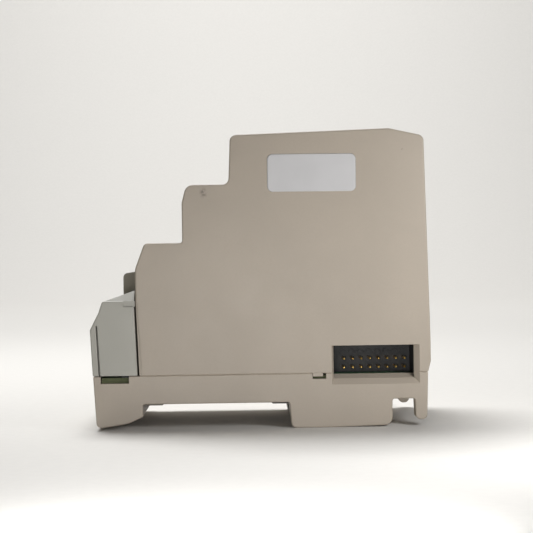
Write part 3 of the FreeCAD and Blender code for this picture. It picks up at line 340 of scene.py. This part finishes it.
def circuit_board(name, colour, core_colour, across):
    """Fibreglass board under solder mask: raised tracks on its faces, layered glass on its cut edges."""
    material, tree, shader, place = new_material(name)
    flat = {"X": (0, 1, 1), "Y": (1, 0, 1), "Z": (1, 1, 0)}[across]
    face = add(tree, "ShaderNodeVectorMath", {0: place, 1: flat}, operation="MULTIPLY").outputs["Vector"]
    pad_pitch, track_pitch, weave_pitch = 2.6 * MM, 5.1 * MM, 1.3 * MM
    pads = add(tree, "ShaderNodeTexVoronoi", {"Vector": face, "Scale": 1 / pad_pitch}, distance="CHEBYCHEV")
    tracks = add(
        tree,
        "ShaderNodeTexBrick",
        {"Vector": face, "Scale": 1 / track_pitch, "Mortar Size": 0.07, "Mortar Smooth": 0.3, "Bias": 0.0},
    )
    track = ramp(tree, tracks.outputs["Fac"], 0.2, 0.8)
    pad = ramp(tree, pads.outputs["Distance"], 0.16, 0.12)
    layers = {"Vector": place, "Scale": 1 / weave_pitch, "Distortion": 1.5}
    weave = add(tree, "ShaderNodeTexWave", layers, bands_direction=across).outputs["Fac"]
    normal = add(tree, "ShaderNodeNewGeometry").outputs["Normal"]
    outward = calc(tree, "ABSOLUTE", axis_value(tree, normal, across))
    on_edge = ramp(tree, outward, 0.7, 0.5)
    speckle = noise(tree, place, 0.5)
    mask = blend(tree, track, colour, shade(colour, 1.45))
    mask = blend(tree, ramp(tree, speckle, 0.3, 0.8), mask, shade(colour, 0.85))
    core = blend(tree, weave, core_colour, shade(core_colour, 0.7))
    tone = blend(tree, on_edge, mask, core)
    height = calc(tree, "ADD", calc(tree, "MULTIPLY", track, 0.6), calc(tree, "MULTIPLY", pad, 0.4))
    rough = ramp(tree, on_edge, 0.0, 1.0, 0.28, 0.75)
    drive(tree, shader, Base_Color=tone, Roughness=rough, IOR=1.5, Normal=bump(tree, height, 0.035))
    return material


def paper(name, colour, rule_colour):
    """Uncoated card: short felted fibres, with thin printed rules between the fields."""
    material, tree, shader, place = new_material(name)
    fibres = add(tree, "ShaderNodeMapping", {"Vector": place, "Scale": (1.0, 0.3, 1.0)}).outputs["Vector"]
    felt = noise(tree, fibres, 0.35, detail=4.0, roughness=0.7)
    low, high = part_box("marking_strip")
    field = (high.y - low.y) / POLES
    along = calc(tree, "DIVIDE", calc(tree, "SUBTRACT", axis_value(tree, place, "Y"), low.y), field)
    rule = calc(tree, "PINGPONG", along, 0.5)
    rule = ramp(tree, rule, 0.035, 0.02)
    tone = blend(tree, ramp(tree, felt, 0.3, 0.8), colour, shade(colour, 0.9))
    tone = blend(tree, rule, tone, rule_colour)
    drive(tree, shader, Base_Color=tone, Roughness=0.85, IOR=1.5, Normal=bump(tree, felt, 0.02))
    return material


# ---------------------------------------------------------------- sizes and colours a user may change


class CaseSettings(bpy.types.PropertyGroup):
    """Colours and grain of the case."""

    colour: colour_property("Case colour", "Pebble grey of the base and the cover", "#AEA395")
    grain: length_property("Grain", "Width of the mould's grain", 0.45)
    edge: length_property("Edge rounding", "Radius that the mould gives every sharp edge", 0.2)
    wear: plain_property("Wear", "How far rubbed edges turn lighter", 0.5)


class PlugSettings(bpy.types.PropertyGroup):
    """Colours of the terminal plug and its grip."""

    colour: colour_property("Plug colour", "Light grey of the terminal plug", "#A8A69D")
    grip: colour_property("Grip colour", "Grey of the pull grip", "#A8A396")


class MetalSettings(bpy.types.PropertyGroup):
    """Colours of the metal pieces."""

    gold: colour_property("Gold", "Flash gold on the bus pins", "#E2B868")
    tin: colour_property("Tin", "Tin on contacts and cages", "#C6C4BE")
    zinc: colour_property("Zinc", "Zinc on the screws", "#C2C6C8")
    steel: colour_property("Spring steel", "Bare steel of the latch spring", "#8E8D8A")
    aluminium: colour_property("Aluminium", "Cans of the capacitors", "#CDCFD1")


class BoardSettings(bpy.types.PropertyGroup):
    """Colours of the boards and what stands on them."""

    mask: colour_property("Solder mask", "Green lacquer on the boards", "#1F5B36")
    core: colour_property("Board core", "Glass fibre seen on a board's edge", "#6E7452")
    black: colour_property("Black plastic", "Connector blocks and packages", "#0B0A09")


class LabelSettings(bpy.types.PropertyGroup):
    """Shape and colour of the side label."""

    colour: colour_property("Label colour", "White of the blank label", "#C9C8C9")
    lift: length_property("Corner lift", "How far the corners stand off the case", 0.05)
    rim: length_property("Rim", "Width of the label's rounded cut edge", 0.25)


class SpringSettings(bpy.types.PropertyGroup):
    """Shape of the latch spring."""

    wire: length_property("Wire", "Thickness of the spring's wire", 0.4)
    travel: length_property("Travel", "How far the latch presses the spring together", 3.5)
    turns: plain_property("Turns", "Coils, the flat ones at both ends counted", 8.0)


class StageSettings(bpy.types.PropertyGroup):
    """Floor, light and camera."""

    floor: colour_property("Floor", "Pale grey of the floor", "#E4E2DE")
    key: plain_property("Key light", "Power of the close side lamp", 0.1, unit="POWER")
    bounce: plain_property("Bounce", "Power of the light from below", 0.14, unit="POWER")
    top: plain_property("Top light", "Power of the overhead light", 2.5, unit="POWER")
    backdrop: plain_property("Backdrop light", "Power on the backdrop", 14.0, unit="POWER")
    room: plain_property("Room light", "Strength of the room's even light", 0.04)
    lens: plain_property("Lens", "Focal length of the camera", 97.71, subtype="DISTANCE_CAMERA")


SETTINGS = {
    "module_case": CaseSettings,
    "module_plug": PlugSettings,
    "module_metal": MetalSettings,
    "module_board": BoardSettings,
    "module_label": LabelSettings,
    "module_spring": SpringSettings,
    "module_stage": StageSettings,
}


# ---------------------------------------------------------------- operators


class MODULE_OT_case(bpy.types.Operator):
    """Finish the base and the cover as moulded ABS"""

    bl_idname = "module.case"
    bl_label = "Case"

    def execute(self, context):
        own = context.scene.module_case
        # Moulded ABS blend: a warm pebble grey with a satin, finely pitted skin, rubbed smoother where
        # it is handled. The pits are drawn three times as wide as they are, so that they show.
        marks = [
            ((-15.9, -26.25, 68.35), 1.4, (1.0, 0.4, 0.7), 0.8),
            ((41.8, -26.25, 80.15), 0.5, (1.0, 0.4, 1.0), 0.5),
        ]
        skin = moulded_plastic(
            "moulded ABS", own.colour, 0.5, own.grain / MM, 0.018, own.edge / MM, own.wear, 0.03, marks
        )
        paint(["base", "cover"], skin)
        return {"FINISHED"}


class MODULE_OT_plug(bpy.types.Operator):
    """Finish the terminal plug, its foot and its grip as moulded polyamide"""

    bl_idname = "module.plug"
    bl_label = "Terminal plug"

    def execute(self, context):
        own = context.scene.module_plug
        # Moulded polyamide: a cooler grey than the case, a little waxy, with a finer grain.
        body = moulded_plastic(
            "moulded polyamide, light grey", own.colour, 0.46, 0.35, 0.012, 0.15, 0.35, 0.03
        )
        paint(["terminal_plug", "terminal_plug_foot"], body)
        # The grip is the same plastic in a browner grey, with its ribs polished by fingers.
        grip = moulded_plastic(
            "moulded polyamide, brown grey", own.grip, 0.42, 0.35, 0.012, 0.2, 0.5, 0.05
        )
        paint(["plug_grip"], grip)
        return {"FINISHED"}


class MODULE_OT_terminals(bpy.types.Operator):
    """Finish screws, cages, contacts and fixed pins in their platings"""

    bl_idname = "module.terminals"
    bl_label = "Terminals"

    def execute(self, context):
        own = context.scene.module_metal
        # Zinc-plated steel: a bright, slightly blue grey, with turning marks too fine to feel.
        zinc = plated_metal("zinc-plated steel", own.zinc, 0.28, 0.12, 0.004, 0.18)
        paint([f"terminal_screw_{k}" for k in range(1, POLES + 1)] + ["board_screws"], zinc)
        # Tinned copper: soft and satin, darker in clouds where fingers and air have dulled it.
        tin = plated_metal("tinned copper", own.tin, 0.36, 0.18, 0.005, 0.22)
        paint([f"clamp_cage_{k}" for k in range(1, POLES + 1)] + ["plug_contacts", "terminal_pins"], tin)
        return {"FINISHED"}


class MODULE_OT_bus(bpy.types.Operator):
    """Finish the bus pins, their blocks and the hoods round them"""

    bl_idname = "module.bus"
    bl_label = "Bus connectors"

    def execute(self, context):
        metal, board = context.scene.module_metal, context.scene.module_board
        # Flash-gold plating over nickel: warm and bright, a touch dull at the tips.
        gold = plated_metal("flash-gold plating", metal.gold, 0.24, 0.1, 0.003, 0.2)
        paint(["bus_pins_in", "bus_pins_out"], gold)
        # Glass-filled polyester in black: faintly grey, with short fibres that show as a dry grain.
        black = moulded_plastic("moulded polyester, black", board.black, 0.5, 0.3, 0.01, 0.1, 0.25, 0.2)
        blocks = ["bus_pin_block_in", "bus_pin_block_out", "bus_hood_in", "bus_hood_out"]
        paint(blocks + ["board_socket", "lamp_board_connector", "pin_strip"], black)
        return {"FINISHED"}


class MODULE_OT_boards(bpy.types.Operator):
    """Finish the boards and the packages that stand on them"""

    bl_idname = "module.boards"
    bl_label = "Boards"

    def execute(self, context):
        own, metal = context.scene.module_board, context.scene.module_metal
        # Solder-masked fibreglass: glossy green over raised copper tracks, olive glass on the sawn edge.
        lying = circuit_board("solder-masked fibreglass, lying", own.mask, own.core, "Z")
        upright = circuit_board("solder-masked fibreglass, upright", own.mask, own.core, "Y")
        paint(["main_board", "lamp_board"], lying)
        paint(["logic_board"], upright)
        # Moulded epoxy packages: matt black with a powdery, sandblasted skin.
        epoxy = moulded_plastic("moulded epoxy", shade(own.black, 1.3), 0.6, 0.2, 0.012, 0.12, 0.3, 0.15)
        paint(["optocouplers", "driver_chips", "bus_chip"], epoxy)
        # Deep-drawn aluminium cans: bright, with drawing lines along their height.
        can = plated_metal("drawn aluminium", metal.aluminium, 0.25, 0.15, 0.004, 0.1)
        paint(["supply_capacitors"], can)
        return {"FINISHED"}


class MODULE_OT_front(bpy.types.Operator):
    """Finish the front film, the lamps and the marking strip"""

    bl_idname = "module.front"
    bl_label = "Front"

    def execute(self, context):
        # Screen-printed polyester film: an even, slightly toothed grey with a thin darker frame.
        film = printed_film("printed polyester film", linear("#8F9290"), linear("#4E5254"))
        paint(["front_panel"], film)
        # Clear polycarbonate: glassy lenses and window with a little mould waviness.
        clear = clear_plastic("clear polycarbonate", linear("#EEF2EC"))
        paint(["lamps", "light_pipes", "strip_cover"], clear)
        # Uncoated card with fine fibres and printed field rules.
        card = paper("uncoated card", linear("#E6E3DA"), linear("#7A7C7E"))
        paint(["marking_strip"], card)
        return {"FINISHED"}


class MODULE_OT_label(bpy.types.Operator):
    """Make the blank side label, a thin film with round corners that lift a little"""

    bl_idname = "module.label"
    bl_label = "Side label"

    def execute(self, context):
        own = context.scene.module_label
        material, tree, shader, place = new_material("matt polyester label")
        # Matt white polyester film: an even chalky white, faintly wavy where it was pressed down.
        tooth = noise(tree, place, 0.5, detail=3.0)
        press = noise(tree, place, 7.0)
        tone = blend(tree, ramp(tree, press, 0.3, 0.7), shade(own.colour, 0.97), own.colour)
        height = calc(tree, "ADD", calc(tree, "MULTIPLY", tooth, 0.1), press)
        drive(tree, shader, Base_Color=tone, Roughness=0.55, IOR=1.5, Normal=bump(tree, height, 0.05))
        low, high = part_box("side_label")
        tilt, corner, margin, sides = math.radians(0.2), 1.6 * MM, 0.05 * MM, 96
        middle = (low + high) / 2
        half = np.array([high.x - low.x, high.z - low.z]) / 2 - margin
        thickness = high.y - low.y
        # Rings shrink from a round-cornered outline to the middle. The outline is a rectangle drawn in by
        # the corner's radius, with a quarter circle set at each corner. Height over the case is full
        # inside, falls along a quarter circle at the rim, and lifts with the cube of the way out.
        off_axis = 0.01
        turn = np.linspace(0, 2 * math.pi, sides, endpoint=False) + off_axis
        away = np.stack([np.cos(turn), np.sin(turn)], axis=1)
        share = np.concatenate([np.linspace(0.02, 0.9, 12), np.linspace(0.93, 1.0, 5)])[:, None, None]
        outline = np.sign(away) * (half - corner) + corner * away
        flat = outline[None] * share
        inset = np.clip((1 - share[..., 0]) * half.min() / own.rim, 0, 1)
        bulge = np.sqrt(np.clip(1 - (1 - inset) ** 2, 0, 1)) * (thickness - own.lift)
        at_corner = np.clip(np.abs(flat[..., 0] * flat[..., 1]) / half.prod(), 0, 1)
        rise = bulge + own.lift * at_corner**3
        x = middle.x + flat[..., 0] * math.cos(tilt) + flat[..., 1] * math.sin(tilt)
        z = middle.z - flat[..., 0] * math.sin(tilt) + flat[..., 1] * math.cos(tilt)
        front = np.stack([x, high.y - rise, z], axis=-1)
        rings = len(share)
        hub = [[middle.x, high.y - thickness + own.lift, middle.z], [middle.x, high.y, middle.z]]
        points = np.vstack([front.reshape(-1, 3), np.array(hub)])
        faces = grid_faces(rings, sides, wrap_columns=True)[:, ::-1].tolist()
        centre, back = rings * sides, rings * sides + 1
        faces += [[centre, i, (i + 1) % sides] for i in range(sides)]
        rim = (rings - 1) * sides
        faces += [[back, rim + (i + 1) % sides, rim + i] for i in range(sides)]
        new_piece("side_label_film", points, faces, "case", material, ["side_label"])
        return {"FINISHED"}


class MODULE_OT_latch(bpy.types.Operator):
    """Finish the rail latch as moulded acetal and wind its spring"""

    bl_idname = "module.latch"
    bl_label = "Rail latch and spring"

    def execute(self, context):
        own, metal = context.scene.module_spring, context.scene.module_metal
        # Moulded acetal: black, waxy and slippery, brighter where it slides in its tunnel.
        black = linear("#2A2A28")
        acetal = moulded_plastic("moulded acetal, black", black, 0.36, 0.4, 0.008, 0.15, 0.5, 0.15)
        paint(["rail_latch"], acetal)
        # Patented spring wire: bare grey steel with die lines round the wire.
        steel = plated_metal("spring steel", metal.steel, 0.3, 0.08, 0.003, 0.25)
        low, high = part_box("latch_spring")
        count, sides = int(own.turns * 36), 12
        t = np.linspace(0.0, 1.0, count)
        # The wire's middle runs round a circle while it moves along X, slowly over the first and last
        # turn, so that both ends are wound flat; its round section stands square to that line.
        angle = 2 * math.pi * own.turns * t
        flat = 1.0 / own.turns
        pace = np.clip(np.minimum(t, 1 - t) / flat, 0, 1)
        speed = 0.16 + 0.84 * pace * pace * (3 - 2 * pace)
        run = np.concatenate([[0.0], np.cumsum((speed[1:] + speed[:-1]) / 2)])
        run /= run[-1]
        wire = own.wire / 2
        radius = (high.z - low.z) / 2 - wire
        middle_y, middle_z = (low.y + high.y) / 2, (low.z + high.z) / 2
        x = low.x + wire + (high.x - low.x - 2 * wire) * run
        line = np.stack([x, middle_y + radius * np.cos(angle), middle_z + radius * np.sin(angle)], axis=1)
        outward = np.stack([0 * t, np.cos(angle), np.sin(angle)], axis=1)
        along = np.gradient(line, axis=0)
        along /= np.linalg.norm(along, axis=1)[:, None]
        sideways = np.cross(along, outward)
        turn = np.linspace(0, 2 * math.pi, sides, endpoint=False)
        across, up = np.cos(turn)[None, :, None], np.sin(turn)[None, :, None]
        points = line[:, None] + wire * (outward[:, None] * across + sideways[:, None] * up)
        faces = grid_faces(count, sides, wrap_columns=True)[:, ::-1].tolist()
        faces += [list(range(sides)), list(range(count * sides - 1, (count - 1) * sides - 1, -1))]
        piece = new_piece(
            "latch_spring_wire", points, faces, "case", steel, ["latch_spring"]
        )
        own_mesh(piece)
        return {"FINISHED"}


class MODULE_OT_stage(bpy.types.Operator):
    """Set the floor, the lights and the camera"""

    bl_idname = "module.stage"
    bl_label = "Stage"

    def execute(self, context):
        own = context.scene.module_stage
        self.floor(own)
        self.lights(context.scene, own)
        self.camera(context.scene, own)
        context.scene.view_settings.view_transform = "Standard"
        return {"FINISHED"}

    def floor(self, own):
        """A sweep: flat board, a quarter circle up behind the module, then an upright backdrop."""
        bend, back = 0.6, 1.6
        turn = np.linspace(0, math.pi / 2, 17)
        run = np.concatenate([[-3.0, -0.6, 0.3], back - bend + bend * np.sin(turn), [back]])
        rise = np.concatenate([[0.0, 0.0, 0.0], bend - bend * np.cos(turn), [2.6]])
        across = np.linspace(-2.5, 2.5, 9)
        x, y = np.meshgrid(across, run)
        points = np.stack([x, y, np.repeat(rise[:, None], len(across), axis=1)], axis=-1)
        mesh = bpy.data.meshes.new("floor")
        mesh.from_pydata(points.reshape(-1, 3).tolist(), [], grid_faces(len(run), len(across)).tolist())
        mesh.polygons.foreach_set("use_smooth", np.ones(len(mesh.polygons), bool))
        floor = bpy.data.objects.new("floor", mesh)
        bpy.context.scene.collection.objects.link(floor)
        # Matt painted board: an even pale grey with a barely visible roller texture.
        material, tree, shader, place = new_material("matt painted board")
        roller = noise(tree, place, 3.0, detail=3.0)
        tone = blend(tree, ramp(tree, roller, 0.3, 0.7), shade(own.floor, 0.98), own.floor)
        drive(tree, shader, Base_Color=tone, Roughness=0.9, IOR=1.45, Normal=bump(tree, roller, 0.03))
        paint([floor], material)

    def lights(self, scene, own):
        """A close lamp low on the right, a bounce from below, a softbox overhead, one for the backdrop."""
        for name, place, aim, size, power in (
            ("key_light", (0.11, -0.12, 0.08), (0.07, -0.026, 0.012), 0.06, own.key),
            ("bounce_light", (-0.01, -0.19, 0.004), (0.0, -0.026, 0.008), 0.1, own.bounce),
            ("top_light", (-0.1, 0.16, 0.5), (-0.01, 0.0, 0.05), 0.3, own.top),
            ("backdrop_light", (0.0, 0.7, 1.1), (0.0, 1.6, 0.25), 0.9, own.backdrop),
        ):
            lamp = bpy.data.lights.new(name, "AREA")
            lamp.shape = "DISK"
            lamp.size = size
            lamp.energy = power
            holder = bpy.data.objects.new(name, lamp)
            holder.location = place
            holder.rotation_euler = (Vector(aim) - Vector(place)).to_track_quat("-Z", "Y").to_euler()
            holder.visible_camera = False
            scene.collection.objects.link(holder)
        world = bpy.data.worlds.new("studio_room")
        world.use_nodes = True
        back = world.node_tree.nodes["Background"]
        back.inputs["Color"].default_value = rgba(linear("#F2F0EC"))
        back.inputs["Strength"].default_value = own.room
        scene.world = world

    def camera(self, scene, own):
        """Level with the middle of the case, square to its near side, a hair to the right and down."""
        lens = bpy.data.cameras.new("studio_camera")
        lens.lens = own.lens
        lens.sensor_width = 36.0
        lens.clip_start = 0.01
        camera = bpy.data.objects.new("studio_camera", lens)
        yaw, pitch, roll = math.radians(0.79), math.radians(-0.5), math.radians(0.84)
        level = math.cos(pitch)
        forward = Vector((math.sin(yaw) * level, math.cos(yaw) * level, math.sin(pitch)))
        right = forward.cross(Vector((0, 0, 1))).normalized()
        up = right.cross(forward)
        right, up = (
            right * math.cos(roll) - up * math.sin(roll),
            right * math.sin(roll) + up * math.cos(roll),
        )
        turn = Matrix((right, up, -forward)).transposed()
        camera.matrix_world = Matrix.Translation((-0.003735, -0.44433, 0.05049)) @ turn.to_4x4()
        scene.collection.objects.link(camera)
        scene.camera = camera


OPERATORS = (
    MODULE_OT_case,
    MODULE_OT_plug,
    MODULE_OT_terminals,
    MODULE_OT_bus,
    MODULE_OT_boards,
    MODULE_OT_front,
    MODULE_OT_label,
    MODULE_OT_latch,
    MODULE_OT_stage,
)


class MODULE_PT_pieces(bpy.types.Panel):
    """Lists the module's pieces and what can be changed on them"""

    bl_idname = "MODULE_PT_pieces"
    bl_label = "Controller Module"
    bl_space_type = "VIEW_3D"
    bl_region_type = "UI"
    bl_category = "Controller Module"

    def draw(self, context):
        for name, kind in SETTINGS.items():
            box = self.layout.box()
            own = getattr(context.scene, name)
            for key in kind.__annotations__:
                box.prop(own, key)
        for operator in OPERATORS:
            self.layout.operator(operator.bl_idname)


def register():
    """Makes the settings, operators and panel known to Blender."""
    for name, kind in SETTINGS.items():
        bpy.utils.register_class(kind)
        setattr(bpy.types.Scene, name, PointerProperty(type=kind))
    for kind in (*OPERATORS, MODULE_PT_pieces):
        bpy.utils.register_class(kind)


def unregister():
    """Takes them away again, last first."""
    for kind in reversed((*OPERATORS, MODULE_PT_pieces)):
        bpy.utils.unregister_class(kind)
    for name, kind in reversed(SETTINGS.items()):
        delattr(bpy.types.Scene, name)
        bpy.utils.unregister_class(kind)


def main():
    """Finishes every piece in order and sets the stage."""
    register()
    for operator in OPERATORS:
        group, name = operator.bl_idname.split(".")
        getattr(getattr(bpy.ops, group), name)()


if __name__ == "__main__":
    main()
